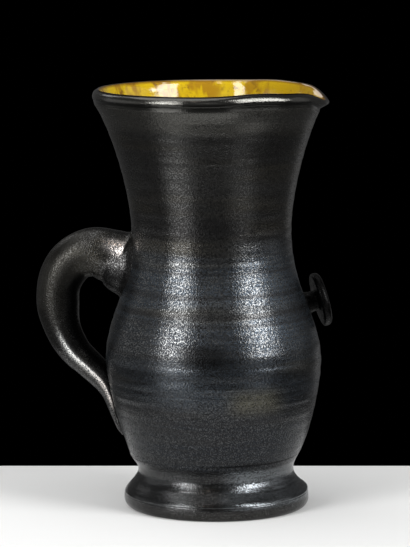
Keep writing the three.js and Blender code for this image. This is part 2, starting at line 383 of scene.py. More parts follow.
def inside_line():
    """From the middle of the floor, round the corner, up the wall and onto the lip."""
    floor = SEAM_HEIGHT + CLEARANCE + FLOOR_THICKNESS
    upright = offset(WALL, wall_depth(WALL[:, 1]))
    upright = upright[upright[:, 1] > floor + CORNER_HEIGHT]
    corner = bezier([
        (upright[0, 0] - CORNER_WIDTH, floor), (upright[0, 0] - CORNER_LEAN, floor), upright[0]
    ], 14)
    upright = upright[upright[:, 1] < MOUTH_FACE_START]
    start, slope = upright[-1], upright[-1] - upright[-2]
    slope /= np.linalg.norm(slope)
    opening = heading(MOUTH_FACE_ANGLE)
    face = bezier([start, start + slope * 9, MOUTH_EDGE - opening * 13, MOUTH_EDGE], 16)
    edge = bezier([MOUTH_EDGE, MOUTH_EDGE + opening * 1.7, LIP_CREST - (1.0, 0.05), LIP_CREST], 9)
    return np.concatenate([
        [(0, floor)], even([(0.01, floor), corner[0]], 6)[1:], corner[1:-1],
        even(upright, INSIDE_SPACING), face[1:-1], edge,
    ])


def lip_values(count, lip_count, inside_count):
    """Where the body's outline has the yellow glaze, the rounded lip and the painted shade under
    it.
    """
    first, last = count - inside_count - lip_count, count - inside_count
    turn = np.linspace(LIP_BEAD_START, LIP_BEAD_END, lip_count)
    glaze, bead, crease_shade = np.zeros(count), np.zeros(count), np.zeros(count)
    glaze[first:last] = smoothstep(turn, 62, 90)
    glaze[last:] = 1
    bead[first - CREASE_POINTS:] = 1
    crease_shade[first - CREASE_POINTS:first] = smoothstep(np.arange(CREASE_POINTS), -1, 3)
    crease_shade[first:last] = 1 - smoothstep(turn, -4, 6)
    return glaze, bead, crease_shade * CREASE_SHADE_STRENGTH


def make_body(material):
    """The thrown body: floor, wall, rolled lip and open inside in one turned outline."""
    bottom = SEAM_HEIGHT + SEAM_GAP
    edge = float(wall_radius(bottom))
    under = np.array([(edge - 2, bottom), (edge - 0.05, bottom), (edge, bottom + 0.05)])
    wall = np.concatenate([[under[-1] + (0.06, 0.12)], WALL[WALL[:, 1] > bottom + 0.6]])
    wall = even(wall, OUTSIDE_SPACING)
    lip = lip_bead()
    slope = (wall[-1] - wall[-2]) / np.linalg.norm(wall[-1] - wall[-2])
    under_lip = lip[0] - (0.30, 0.22)
    roll = bezier([wall[-1], wall[-1] + slope * 0.8, under_lip], 7)[1:]
    inside = inside_line()[::-1]
    outline = np.concatenate([
        [(0, bottom)], even([(0.01, bottom), under[0]], 8)[1:-1], under, wall, roll, lip, inside,
    ])
    points, faces, index = turned(outline, POT_STEPS)
    outer = index < len(outline) - len(inside)
    height, angle = points[:, 2], np.arctan2(points[:, 1], points[:, 0])
    points = radially(points, np.where(outer, unevenness(height, angle), 0))
    rim = outer & (np.hypot(points[:, 0], points[:, 1]) > edge - 1.9)
    points = radially(points, np.where(rim, seam_cut(height, angle), 0))
    points[:, 2] += seam_shift(height, angle)
    glaze, bead, crease_shade = lip_values(len(outline), len(lip), len(inside))
    # painted shade along the seam between foot and body
    seam = seam_strength(height, angle, SEAM_SHADE_WIDTH) * outer
    return mesh_piece("dark_thrown_body", pinch(points), faces, material,
                      {"glaze": glaze[index], "bead": bead[index],
                       "crease_shade": np.maximum(seam, crease_shade[index])})


EDGE_THINNING, EDGE_REACH = 3.5, 12


def make_lining(material):
    """The yellow glaze, thinning out and carrying its nearness to the edge of the lip."""
    line = inside_line()
    run = run_along(line)
    to_edge = run[-1] - run
    thickness = GLAZE * (0.15 + 0.85 * smoothstep(to_edge, 0, EDGE_THINNING))
    outer = offset(line, CLEARANCE)
    inner = offset(line, CLEARANCE + thickness)[::-1]
    outer[0, 0] = inner[-1, 0] = 0
    outline = np.concatenate([outer, inner])
    points, faces, index = turned(outline, POT_STEPS)
    height, angle = points[:, 2], np.arctan2(points[:, 1], points[:, 0])
    facing = index >= len(outer)
    ripple = throwing_lines(height + 3, angle) * 0.9
    ripple *= between(height, (60, 75), (PITCHER_HEIGHT - 12, PITCHER_HEIGHT - 6))
    points = radially(points, np.where(facing, ripple, 0))
    near_edge = 1 - np.concatenate([to_edge, to_edge[::-1]]) / EDGE_REACH
    return mesh_piece("yellow_inside_glaze", pinch(points), faces, material,
                      {"glaze": np.clip(near_edge, 0, 1)[index]})


ARRIS_RADIUS, ARRIS_HEIGHT = 57.45, 9.2
ARRIS_TILT, ARRIS_WAVE = 1.0, 0.3
STAND_INSIDE = STAND_RADIUS - STAND_WIDTH


def foot_outline(seam):
    """Standing ring, outer edge, arris, flare, waist, seam and the hollow underside."""
    edge = seam - SEAM_GAP / 2
    slope = WALL[1] - WALL[0]
    slope /= np.linalg.norm(slope)
    flare = bezier([
        (ARRIS_RADIUS, ARRIS_HEIGHT), (ARRIS_RADIUS - 1.9, ARRIS_HEIGHT + 4.2),
        (WAIST_RADIUS + 0.2, WAIST_HEIGHT - 7.5), (WAIST_RADIUS + 0.1, WAIST_HEIGHT - 1.5),
    ], 28)
    top = np.array([edge, SEAM_HEIGHT - 0.06])
    waist = bezier([flare[-1], (WAIST_RADIUS + 0.1, WAIST_HEIGHT + 2.4), top - slope * 5, top], 18)
    return np.concatenate([
        even([(STAND_INSIDE + 0.8, 0), (STAND_RADIUS - 1.2, 0)], 1.6),
        bezier([(STAND_RADIUS - 0.6, 0.05), (STAND_RADIUS + 0.9, 0.5),
                (FOOT_RADIUS, 2.4), (FOOT_RADIUS - 0.02, 5)], 9),
        bezier([(FOOT_RADIUS - 0.02, 5.2), (FOOT_RADIUS, 6.8), (FOOT_RADIUS - 0.12, 7.6),
                (FOOT_RADIUS - 0.24, ARRIS_HEIGHT - 0.8)], 6)[1:],
        bezier([(FOOT_RADIUS - 0.36, ARRIS_HEIGHT - 0.6),
                (ARRIS_RADIUS - 0.08, ARRIS_HEIGHT - 0.42),
                (ARRIS_RADIUS + 0.02, ARRIS_HEIGHT - 0.2), (ARRIS_RADIUS, ARRIS_HEIGHT)], 6),
        flare[1:], waist[1:],
        [(edge - 0.05, SEAM_HEIGHT), (edge - 2, SEAM_HEIGHT)],
        even([(seam - 3.4, SEAM_HEIGHT), (seam - FOOT_WALL + 1, SEAM_HEIGHT)], 2),
        bezier([(seam - FOOT_WALL, SEAM_HEIGHT - 0.6), (WAIST_RADIUS - FOOT_WALL, SEAM_HEIGHT / 2),
                (STAND_INSIDE, 0.9)], 16),
        [(STAND_INSIDE + 0.3, 0.2)],
    ])


def make_foot(material):
    """The foot, turned hollow underneath, with its arris rising and falling round the edge."""
    seam = float(wall_radius(SEAM_HEIGHT))
    points, faces, _ = turned(foot_outline(seam), POT_STEPS)
    height, angle = points[:, 2].copy(), np.arctan2(points[:, 1], points[:, 0])
    radius = np.hypot(points[:, 0], points[:, 1])
    outside = radius > STAND_INSIDE + 3
    middle = between(height, (2, 8), (24, 30)) * outside
    uneven = 0.12 * np.sin(5 * angle + 1.3) + 0.1 * np.sin(9 * angle + height / 2)
    uneven += throwing_lines(height * 1.2, angle) * 0.5 - 0.12
    points = radially(points, uneven * middle)
    tilt = ARRIS_TILT * np.cos(angle) + ARRIS_WAVE * np.sin(2 * angle + 0.5)
    tilt *= bell(height, ARRIS_HEIGHT, 3.2)
    points[:, 2] += tilt * smoothstep(height, 1, 6)
    rim = (radius > seam - 1.9) & (height > WAIST_HEIGHT)
    points = radially(points, np.where(rim, seam_cut(height, angle), 0))
    points[:, 2] += seam_shift(height, angle)
    # the crease attribute paints shade along the seam
    return mesh_piece("dark_pedestal_foot", points, faces, material,
                      {"crease_shade": seam_strength(height, angle, SEAM_SHADE_WIDTH)})


ROOT_FILLET, ROOT_SPREAD, ROOT_DEPTH = 4.0, 0.35, 2.0
ROOT_HEIGHTS = 100, 118
GROOVE_DEPTH, GROOVE_TURN, GROOVE_WIDTH = 1.3, math.radians(257), 0.28
GROOVE_RUN = (2, 9), (18, 46)
RIDGE, RIDGE_HEIGHTS = 0.22, ((46, 60), (100, 122))
HANDLE_SHRINK, HANDLE_LUMP, LONG_SWELL, SHORT_SWELL = 0.25, 0.07, 0.12, 0.08

# Where the handle gets painted highlights and painted shade. A turn is about the handle's middle
# line, and a run is in millimetres along it from its root.
RIB_TURN, RIB_WIDTH = math.radians(262), 0.20
RIB_HEIGHTS = (58, 68), (94, 112)
STREAK_TURN, STREAK_WIDTH, STREAK_STRENGTH = math.radians(238), 0.20, 0.9
STREAK_RUN = (12, 19), (20, 29)
# painted shade on the handle's inside, which faces away from the lamps, and next to its root where
# it meets the wall
INNER_SHADE_TURN, INNER_SHADE_WIDTH, INNER_SHADE_RUN = math.radians(318), 0.55, (38, 56)
ROOT_SHADE, ROOT_SHADE_RUN = 0.5, (12, 19)


def handle_path():
    """The middle of each ring of the handle, with the ring's half thickness and half width."""
    stations = np.array(HANDLE_STATIONS)
    height = TAIL_HEIGHT + stations[:, 0] * HANDLE_RISE
    reach = wall_radius(height) + stations[:, 1] * HANDLE_REACH
    sizes = np.stack([stations[:, 2] * GRIP_THICKNESS, stations[:, 3] * GRIP_WIDTH], 1) / 2
    centres = np.stack([-reach, 0 * height, height], 1)
    return catmull(centres, HANDLE_RINGS), catmull(sizes, HANDLE_RINGS)


def handle_points(path, size, run, angles):
    """Rings as uneven as rolled clay, softly ridged lower down and grooved near the root."""
    tangent = np.gradient(path, axis=0)
    tangent /= np.linalg.norm(tangent, axis=1)[:, None]
    across = np.array([0, 1.0, 0])
    outward = np.cross(tangent, across)
    rng = np.random.default_rng(5)
    turn_phase, run_phase = rng.uniform(0, 6, 6), rng.uniform(0, 6, 6)
    power = 1 + RIDGE * between(path[:, 2], *RIDGE_HEIGHTS)
    groove_depth = GROOVE_DEPTH * between(run, *GROOVE_RUN)
    swell = LONG_SWELL * np.sin(run / 8.5 + run_phase[0]) - HANDLE_SHRINK
    swell += SHORT_SWELL * np.sin(run / 3.9 + run_phase[1])
    rings = []
    for i, (centre, out, (thick, wide)) in enumerate(zip(path, outward, size)):
        grow = swell[i] - groove_depth[i] * bell(angles, GROOVE_TURN, GROOVE_WIDTH)
        for j in range(4):
            drift = turn_phase[j] + run[i] / (7 + 5 * j)
            grow = grow + HANDLE_LUMP * np.sin((j + 1) * angles + drift)
        side = np.sign(np.cos(angles)) * np.abs(np.cos(angles)) ** power[i]
        front = np.sign(np.sin(angles)) * np.abs(np.sin(angles)) ** power[i]
        ring = centre + np.outer(side * (thick + grow), out)
        rings.append(ring + np.outer(front * (wide + grow), across))
    return np.concatenate(rings)


def smear_root(points, path):
    """Smears the clay out where the handle's root meets the wall."""
    off_wall = np.hypot(points[:, 0], points[:, 1]) - wall_radius(points[:, 2])
    away = points - np.repeat(path, HANDLE_SIDES, 0)
    away /= np.linalg.norm(away, axis=1)[:, None]
    near = np.clip(1 - off_wall / ROOT_FILLET, 0, 1)
    fillet = ROOT_FILLET * ROOT_SPREAD * (1 - np.sqrt(1 - near**2))
    fillet *= smoothstep(points[:, 2], *ROOT_HEIGHTS)
    return above_wall(points + away * fillet[:, None], ROOT_DEPTH)


def handle_faces():
    """Faces between the rings of the handle, and one over each end."""
    faces = []
    for ring in range(HANDLE_RINGS - 1):
        for side in range(HANDLE_SIDES):
            a, b = ring * HANDLE_SIDES + side, ring * HANDLE_SIDES + (side + 1) % HANDLE_SIDES
            faces.append((a, b, b + HANDLE_SIDES, a + HANDLE_SIDES))
    last = (HANDLE_RINGS - 1) * HANDLE_SIDES
    faces.append(tuple(range(HANDLE_SIDES))[::-1])
    faces.append(tuple(range(last, last + HANDLE_SIDES)))
    return faces


def handle_glaze(path, run, angles):
    """How much painted highlight and how much painted shade each point of the handle gets."""
    def strip(turn, width, strength):
        return np.outer(strength, bell(angles, turn, width)).ravel()

    lower = run > run[np.argmin(path[:, 0])]
    # painted highlight: a silvery line along the lower arm, where the lamp reflection shows
    highlight_paint = strip(RIB_TURN, RIB_WIDTH, lower * between(path[:, 2], *RIB_HEIGHTS))
    # painted highlight: a streak near the root
    highlight_paint += strip(STREAK_TURN, STREAK_WIDTH, STREAK_STRENGTH * between(run, *STREAK_RUN))
    # painted shade on the inside of the loop
    painted_shade = strip(INNER_SHADE_TURN, INNER_SHADE_WIDTH, smoothstep(run, *INNER_SHADE_RUN))
    # painted shade where the root meets the wall
    painted_shade += np.repeat(ROOT_SHADE * (1 - smoothstep(run, *ROOT_SHADE_RUN)), HANDLE_SIDES)
    return highlight_paint, painted_shade


def make_handle(material):
    """The rolled handle, with painted highlights along its lower arm and at its root, and painted
    shade on its inside.
    """
    path, size = handle_path()
    run = run_along(path)
    angles = np.linspace(0, 2 * np.pi, HANDLE_SIDES, endpoint=False)
    points = smear_root(handle_points(path, size, run, angles), path)
    highlight_paint, painted_shade = handle_glaze(path, run, angles)
    return mesh_piece("dark_rolled_handle", points, handle_faces(), material,
                      {"rib_and_root_highlight": highlight_paint, "inner": painted_shade})


def knob_outline(shoulder):
    """Stem, back, edge and slightly domed face of the knob."""
    head = KNOB_STAND_OFF - KNOB_THICKNESS
    root = -KNOB_STEM_RADIUS
    return np.concatenate([
        [(0, root), (KNOB_STEM_RADIUS + KNOB_ROOT_FLARE, root)],
        bezier([(KNOB_STEM_RADIUS + KNOB_ROOT_FLARE, root + 0.5), (KNOB_STEM_RADIUS, 0),
                (KNOB_STEM_RADIUS, head - 0.8)], 10),
        bezier([(KNOB_STEM_RADIUS + 0.1, head - 0.4), (KNOB_STEM_RADIUS + 0.8, head),
                (KNOB_RADIUS - KNOB_EDGE - 1, head)], 8),
        bezier([(KNOB_RADIUS - KNOB_EDGE, head), (KNOB_RADIUS, head),
                (KNOB_RADIUS, head + KNOB_EDGE)], 8),
        bezier([(KNOB_RADIUS, head + KNOB_EDGE + 0.3), (KNOB_RADIUS, shoulder),
                (KNOB_RADIUS - KNOB_SHOULDER, shoulder)], 9),
        bezier([(KNOB_RADIUS - KNOB_SHOULDER - 0.6, shoulder), (KNOB_RADIUS / 2, KNOB_STAND_OFF),
                (0, KNOB_STAND_OFF)], 12),
    ])


def make_knob(material):
    """A flat disc on a short stem, turned upright and then laid against the pot's shoulder."""
    shoulder = KNOB_STAND_OFF - KNOB_CROWN
    points, faces, _ = turned(knob_outline(shoulder), KNOB_STEPS)
    angle = np.arctan2(points[:, 1], points[:, 0])
    radius = np.hypot(points[:, 0], points[:, 1])
    uneven = 0.16 * np.sin(2 * angle + 0.6) + 0.09 * np.sin(5 * angle + 2) - 0.2
    points = radially(points, uneven * smoothstep(radius, KNOB_STEM_RADIUS, KNOB_RADIUS))
    points[:, 2] += 0.1 * np.sin(radius * 1.3) * (points[:, 2] > shoulder - 0.1) - 0.1
    tilt, spin = math.radians(90 - KNOB_TILT), math.radians(KNOB_PLACE)
    x, y, z = points.T
    x, z = x * math.cos(tilt) + z * math.sin(tilt), z * math.cos(tilt) - x * math.sin(tilt)
    x, z = x + float(wall_radius(KNOB_HEIGHT)), z + KNOB_HEIGHT
    points = np.stack([
        x * math.cos(spin) - y * math.sin(spin), x * math.sin(spin) + y * math.cos(spin), z
    ], 1)
    return mesh_piece("dark_knob", above_wall(points, ROOT_DEPTH), faces, material)


# Materials. Heights and places along X are in metres.

# near-black used only for painted shade: the handle's inside, the creases and the knob
SHADE_BLACK = (0.002, 0.002, 0.002)
LUSTRE_PIT = (0.010, 0.010, 0.010)
LUSTRE_DARK = (0.024, 0.023, 0.023)
LUSTRE_GREY = (0.040, 0.040, 0.040)
LUSTRE_LOW = (0.016, 0.020, 0.026)
# painted sheen between the two lamp reflections
MIDDLE_SHEEN_PAINT = (0.095, 0.105, 0.115)
LUSTRE_BLUE = (0.050, 0.065, 0.083)
LUSTRE_OLIVE = (0.085, 0.080, 0.058)
LUSTRE_BROWN = (0.055, 0.049, 0.036)
LUSTRE_BRIGHT = (0.150, 0.152, 0.150)
# painted highlight grey on the foot's handle side
FOOT_PAINTED_HIGHLIGHT = (0.060, 0.062, 0.064)
# darker, duller glaze of the handle's arc, partly painted shade
DULL_SHADE_GREY = (0.017, 0.016, 0.013)
FLARE_GREY = (0.100, 0.098, 0.090)
# painted highlight colours: grey for the handle's lower arm and the foot's spout side, whiter for
# the arm and root
PAINTED_HIGHLIGHT_GREY = (0.145, 0.158, 0.170)
RIB_HIGHLIGHT_PAINT = (1.0, 1.0, 0.97)
ROOT_HIGHLIGHT_PAINT = (1.0, 0.90, 0.84)
BREAK_BROWN = (0.016, 0.009, 0.005)
YELLOW = (0.57, 0.39, 0.006)
YELLOW_DEEP = (0.30, 0.18, 0.004)
YELLOW_PALE = (0.62, 0.46, 0.03)
AMBER = (0.35, 0.19, 0.008)
AMBER_DARK = (0.16, 0.075, 0.008)

LUSTRE_METAL = 0.9
ROUGH_LOW, ROUGH_HIGH = 0.15, 0.38
HALO_ROUGH, BEAD_ROUGH, FOOT_ROUGH, RIB_ROUGH = 0.10, 0.42, 0.62, 0.85
GRAIN_DEPTH, PIT_DEPTH, LINE_DEPTH, PEEL_DEPTH = 0.00014, 0.00007, 0.00003, 0.00008
BEAD_RELIEF = 0.75
YELLOW_WAVE_DEPTH, YELLOW_SPOT_DEPTH = 0.0003, 0.00005

# Noise of the outer glaze: scale, detail and roughness. Throwing stretches lines and bands.
GRAIN, PITS = (1250, 1.0, 0.5), (900, 2.0, 0.6)
BLOTCHES, CLOUDS, PEEL = (16, 4.0, 0.6), (7, 2.0, 0.5), (150, 2.0, 0.5)
LINES, BANDS = (160, 3.0, 0.6), (34, 2.0, 0.5)
THROWN_LINES, LINE_STRETCH = (1, 3.0, 0.6), (24, 24, 620)
THROWN_BANDS, BAND_STRETCH = (1, 2.0, 0.5), (9, 9, 95)

# Patches of the outer glaze. Each has the span where it sets in and the span where it ends.
SHOULDER = (0.090, 0.114), (0.152, 0.176)
LOW_BELLY = (0.014, 0.034), (0.058, 0.078)
BLUE_BELLY = (0.064, 0.080), (0.096, 0.112)
# LEFT_PAINTED_SHADE is painted shade beside the left reflection; MIDDLE_SHEEN_BAND is a painted
# sheen between the reflections, and MIDDLE_SHADE_BAND a painted dark band under it
LEFT_PAINTED_SHADE = (0.097, 0.103), (0.118, 0.124)
MIDDLE_SIDE = (0.000, 0.012), (0.028, 0.040)
MIDDLE_SHEEN_BAND = (0.116, 0.124), (0.134, 0.142)
MIDDLE_SHADE_BAND = (0.094, 0.100), (0.107, 0.113)
OLIVE_SIDE = (0.030, 0.046), (0.060, 0.072)
OLIVE_PATCH = (0.063, 0.073), (0.077, 0.087)
DULL_HALO = (0.099, 0.111), (0.144, 0.156)
UNDER_LIP = (0.234, 0.242), (0.258, 0.266)
FOOT_PATCH = (0.006, 0.009), (0.029, 0.031)

# Single spans, over which something sets in from their first end to their second
BELOW_SEAM = 0.031, 0.029
LEFT_SIDE = 0.032, 0.012
# FOOT_LEFT and FOOT_RIGHT are where the foot's painted highlights set in
FOOT_LEFT, FOOT_RIGHT = (0.018, 0.004), (0.026, 0.042)
HANDLE_ARC, HANDLE_ROOT = (0.085, 0.135), (-0.069, -0.039)

# Rings of painted shade that break the lamp reflections, from a height to a height
DARK_RINGS = [(0.1365, 0.1390), (0.1250, 0.1282), (0.1200, 0.1218), (0.1510, 0.1525)]
RING_SOFT = 0.0011


class Nodes:
    """Short calls that add nodes to one material."""

    def __init__(self, name):
        self.material = bpy.data.materials.new(name)
        self.material.use_nodes = True
        self.tree = self.material.node_tree
        self.shader = self.tree.nodes["Principled BSDF"]
        self.place = self.add("ShaderNodeTexCoord").outputs["Object"]
        parts = self.add("ShaderNodeSeparateXYZ")
        self.link(self.place, parts.inputs["Vector"])
        self.along, self.height = parts.outputs["X"], parts.outputs["Z"]

    def add(self, kind, **settings):
        node = self.tree.nodes.new(kind)
        for key, value in settings.items():
            setattr(node, key, value)
        return node

    def link(self, source, target):
        """Joins a number, a colour or a node's output to an input."""
        if isinstance(source, (int, float)):
            target.default_value = source
        elif isinstance(source, (tuple, list)):
            target.default_value = (*source, 1) if len(target.default_value) == 4 else source
        else:
            self.tree.links.new(source, target)

    def put(self, name, source):
        self.link(source, self.shader.inputs[name])

    def stretched(self, scale):
        node = self.add("ShaderNodeMapping")
        self.link(self.place, node.inputs["Vector"])
        node.inputs["Scale"].default_value = scale
        return node.outputs["Vector"]

    def noise(self, scale, detail, rough, vector=None, distort=0.0):
        node = self.add("ShaderNodeTexNoise")
        self.link(self.place if vector is None else vector, node.inputs["Vector"])
        for name, number in (("Scale", scale), ("Detail", detail), ("Roughness", rough),
                             ("Distortion", distort)):
            node.inputs[name].default_value = number
        return node.outputs["Fac"]

    def ramp(self, value, low, high, out_low=0.0, out_high=1.0):
        """A smooth step from out_low to out_high while the value goes from low to high."""
        node = self.add("ShaderNodeMapRange", interpolation_type="SMOOTHSTEP")
        self.link(value, node.inputs["Value"])
        for name, number in (("From Min", low), ("From Max", high), ("To Min", out_low),
                             ("To Max", out_high)):
            node.inputs[name].default_value = number
        return node.outputs["Result"]

    def between(self, value, rise, fall):
        """Rises from nought to one over the first span and falls back over the second."""
        return self.times(self.ramp(value, *rise), self.ramp(value, *fall[::-1]))

    def math(self, operation, a, b):
        node = self.add("ShaderNodeMath", operation=operation)
        self.link(a, node.inputs[0])
        self.link(b, node.inputs[1])
        return node.outputs["Value"]

    def times(self, product, *others):
        for other in others:
            product = self.math("MULTIPLY", product, other)
        return product

    def mix(self, factor, a, b):
        node = self.add("ShaderNodeMix", data_type="RGBA")
        self.link(factor, node.inputs["Factor"])
        self.link(a, node.inputs["A"])
        self.link(b, node.inputs["B"])
        return node.outputs["Result"]

    def bump(self, height, distance, normal=None):
        node = self.add("ShaderNodeBump")
        self.link(height, node.inputs["Height"])
        node.inputs["Distance"].default_value = distance
        if normal is not None:
            self.link(normal, node.inputs["Normal"])
        return node.outputs["Normal"]

    def attribute(self, name):
        return self.add("ShaderNodeAttribute", attribute_name=name).outputs["Fac"]


class Lustre(Nodes):
    """The black lustre glaze, whose colour is tinted one step after another."""

    def __init__(self, name, thrown=False):
        super().__init__(name)
        self.grain = self.noise(*GRAIN)
        self.pits = self.noise(*PITS)
        if thrown:
            self.lines = self.noise(*THROWN_LINES, vector=self.stretched(LINE_STRETCH))
            self.bands = self.noise(*THROWN_BANDS, vector=self.stretched(BAND_STRETCH))
        else:
            self.lines = self.noise(*LINES)
            self.bands = self.noise(*BANDS)
        blotch = self.noise(*BLOTCHES)
        self.colour = self.mix(self.ramp(blotch, 0.38, 0.62), LUSTRE_DARK, LUSTRE_GREY)
        self.rough = self.math("ADD", self.ramp(self.grain, 0.40, 0.54, ROUGH_HIGH, ROUGH_LOW),
                               self.ramp(blotch, 0.35, 0.65, 0.0, 0.05))

    def tint(self, amount, colour):
        self.colour = self.mix(amount, self.colour, colour)

    def speckle(self, sparkle):
        """Brown bands, bright flecks, dark pits and dark lines. Sparkle strengthens the flecks."""
        climb = self.ramp(self.height, 0.07, 0.10, 0.12, 0.6)
        self.tint(self.times(self.ramp(self.bands, 0.47, 0.66), climb), LUSTRE_BROWN)
        strength = self.ramp(sparkle, 0, 1, 0.35, 1.0)
        self.tint(self.times(self.ramp(self.grain, 0.52, 0.60), strength), LUSTRE_BRIGHT)
        self.tint(self.ramp(self.pits, 0.52, 0.60, 0, 0.7), LUSTRE_PIT)
        self.tint(self.ramp(self.lines, 0.44, 0.62, 0, 0.4), LUSTRE_DARK)

    def finish(self, relief=1.0):
        """Joins the colour, the roughness and the fine relief to the shader."""
        self.put("Base Color", self.colour)
        self.put("Metallic", LUSTRE_METAL)
        self.put("Roughness", self.rough)
        normal = self.bump(self.times(self.grain, relief), GRAIN_DEPTH)
        normal = self.bump(self.times(self.pits, relief), PIT_DEPTH, normal)
        normal = self.bump(self.lines, LINE_DEPTH, normal)
        normal = self.bump(self.noise(*PEEL), PEEL_DEPTH, normal)
        self.put("Normal", normal)
        return self.material


def tint_wall(n, shoulder):
    """Low dark, blue and olive patches of the wall, painted shade beside the left lamp reflection
    and a painted pale sheen between the two reflections.
    """
    n.tint(n.times(n.between(n.height, *LOW_BELLY), 0.75), LUSTRE_LOW)
    blue = n.math("MAXIMUM", shoulder, n.times(n.between(n.height, *BLUE_BELLY), 0.65))
    n.tint(n.times(blue, n.ramp(n.noise(*CLOUDS), 0.35, 0.6, 0.6, 1.0)), LUSTRE_BLUE)
    left = n.ramp(n.along, *LEFT_SIDE, 0, 0.4)
    # painted shade beside the left lamp reflection
    n.tint(n.times(n.between(n.height, *LEFT_PAINTED_SHADE), left), LUSTRE_DARK)
    middle = n.between(n.along, *MIDDLE_SIDE)
    # painted pale sheen between the two lamp reflections
    n.tint(n.times(middle, n.between(n.height, *MIDDLE_SHEEN_BAND), 0.6), MIDDLE_SHEEN_PAINT)
    olive = n.times(n.between(n.along, *OLIVE_SIDE), n.between(n.height, *OLIVE_PATCH))
    n.tint(n.times(olive, 0.8), LUSTRE_OLIVE)


def tint_foot(n):
    """A dark foot with painted highlights, greyer towards the handle and paler towards the spout.
    """
    foot = n.between(n.height, *FOOT_PATCH)
    n.tint(n.times(foot, 0.6), LUSTRE_PIT)
    # painted highlights on the foot's two sides
    n.tint(n.times(foot, n.ramp(n.along, *FOOT_LEFT)), FOOT_PAINTED_HIGHLIGHT)
    n.tint(n.times(foot, n.ramp(n.along, *FOOT_RIGHT)), PAINTED_HIGHLIGHT_GREY)


def tint_rings(n):
    """Painted shade: a darker place in the middle, and dark rings that break the two lamp
    reflections.
    """
    middle_shade = n.times(n.between(n.along, *MIDDLE_SIDE), n.between(n.height, *MIDDLE_SHADE_BAND))
    # painted shade in the middle, under the painted sheen
    n.tint(n.times(middle_shade, 0.7), LUSTRE_PIT)
    for low, high in DARK_RINGS:
        ring = n.between(n.height, (low - RING_SOFT, low + RING_SOFT),
                         (high - RING_SOFT, high + RING_SOFT))
        # painted dark rings across the lamp reflections
        n.tint(n.times(ring, 0.6), LUSTRE_DARK)


def tint_lip(n, bead):
    """The paler flare, a faint painted highlight on the rounded lip, its break into the yellow
    glaze, and painted shade under the lip and along the seam.
    """
    flare = n.math("ADD", n.ramp(n.height, 0.176, 0.200, 0, 0.12),
                   n.times(n.between(n.height, *UNDER_LIP), 0.55))
    n.tint(flare, FLARE_GREY)
    # faint painted highlight on the rounded lip
    n.tint(n.times(bead, 0.03), LUSTRE_BRIGHT)
    n.tint(n.ramp(n.attribute("glaze"), 0.15, 0.9), BREAK_BROWN)
    # painted shade under the lip and along the seam
    n.tint(n.times(n.attribute("crease_shade"), 0.9), SHADE_BLACK)


def thrown_lustre():
    """The glaze of the body and the foot."""
    n = Lustre("dark_lustre_thrown", thrown=True)
    shoulder = n.between(n.height, *SHOULDER)
    tint_wall(n, shoulder)
    tint_foot(n)
    n.speckle(n.math("SUBTRACT", shoulder, n.ramp(n.height, *BELOW_SEAM, 0, 0.5)))
    tint_rings(n)
    bead = n.attribute("bead")
    tint_lip(n, bead)
    halo = n.times(n.between(n.height, *DULL_HALO), HALO_ROUGH, n.ramp(n.grain, 0.54, 0.44))
    n.rough = n.times(n.math("ADD", n.rough, halo), n.ramp(bead, 0, 1, 1, BEAD_ROUGH),
                      n.ramp(n.height, *BELOW_SEAM, 1, FOOT_ROUGH))
    return n.finish(n.ramp(bead, 0, 1, 1, BEAD_RELIEF))


def rolled_lustre():
    """The glaze of the handle: darker and duller over its arc, partly as painted shade, with
    painted highlights along its lower arm and root, and painted shade on its inside.
    """
    n = Lustre("dark_lustre_rolled")
    n.speckle(0.5)
    root = n.ramp(n.along, *HANDLE_ROOT)
    # darker, duller glaze over the arc; partly painted shade that keeps the lamp reflection off it
    dull_shaded_arc = n.times(n.ramp(n.height, *HANDLE_ARC), n.math("SUBTRACT", 1.0, root))
    n.tint(n.times(dull_shaded_arc, 0.75), DULL_SHADE_GREY)
    # the silvery colours here are painted highlights on the lower arm and the root
    painted_silver = n.mix(n.ramp(n.grain, 0.38, 0.54), PAINTED_HIGHLIGHT_GREY, n.mix(root, RIB_HIGHLIGHT_PAINT, ROOT_HIGHLIGHT_PAINT))
    rib_and_root_highlight = n.attribute("rib_and_root_highlight")
    # the inner attribute paints shade on the loop's inside and by the root
    n.tint(n.attribute("inner"), SHADE_BLACK)
    n.tint(rib_and_root_highlight, painted_silver)
    n.rough = n.times(n.math("ADD", n.rough, n.times(dull_shaded_arc, 0.12)), n.ramp(rib_and_root_highlight, 0, 1, 1, RIB_ROUGH))
    return n.finish()


def pressed_lustre():
    """The glaze of the knob, tinted very dark as painted shade."""
    n = Lustre("dark_lustre_pressed")
    n.speckle(0.5)
    # painted shade: the knob faces away from the lamps
    n.tint(0.98, SHADE_BLACK)
    n.rough = n.math("ADD", n.rough, 0.1)
    return n.finish()


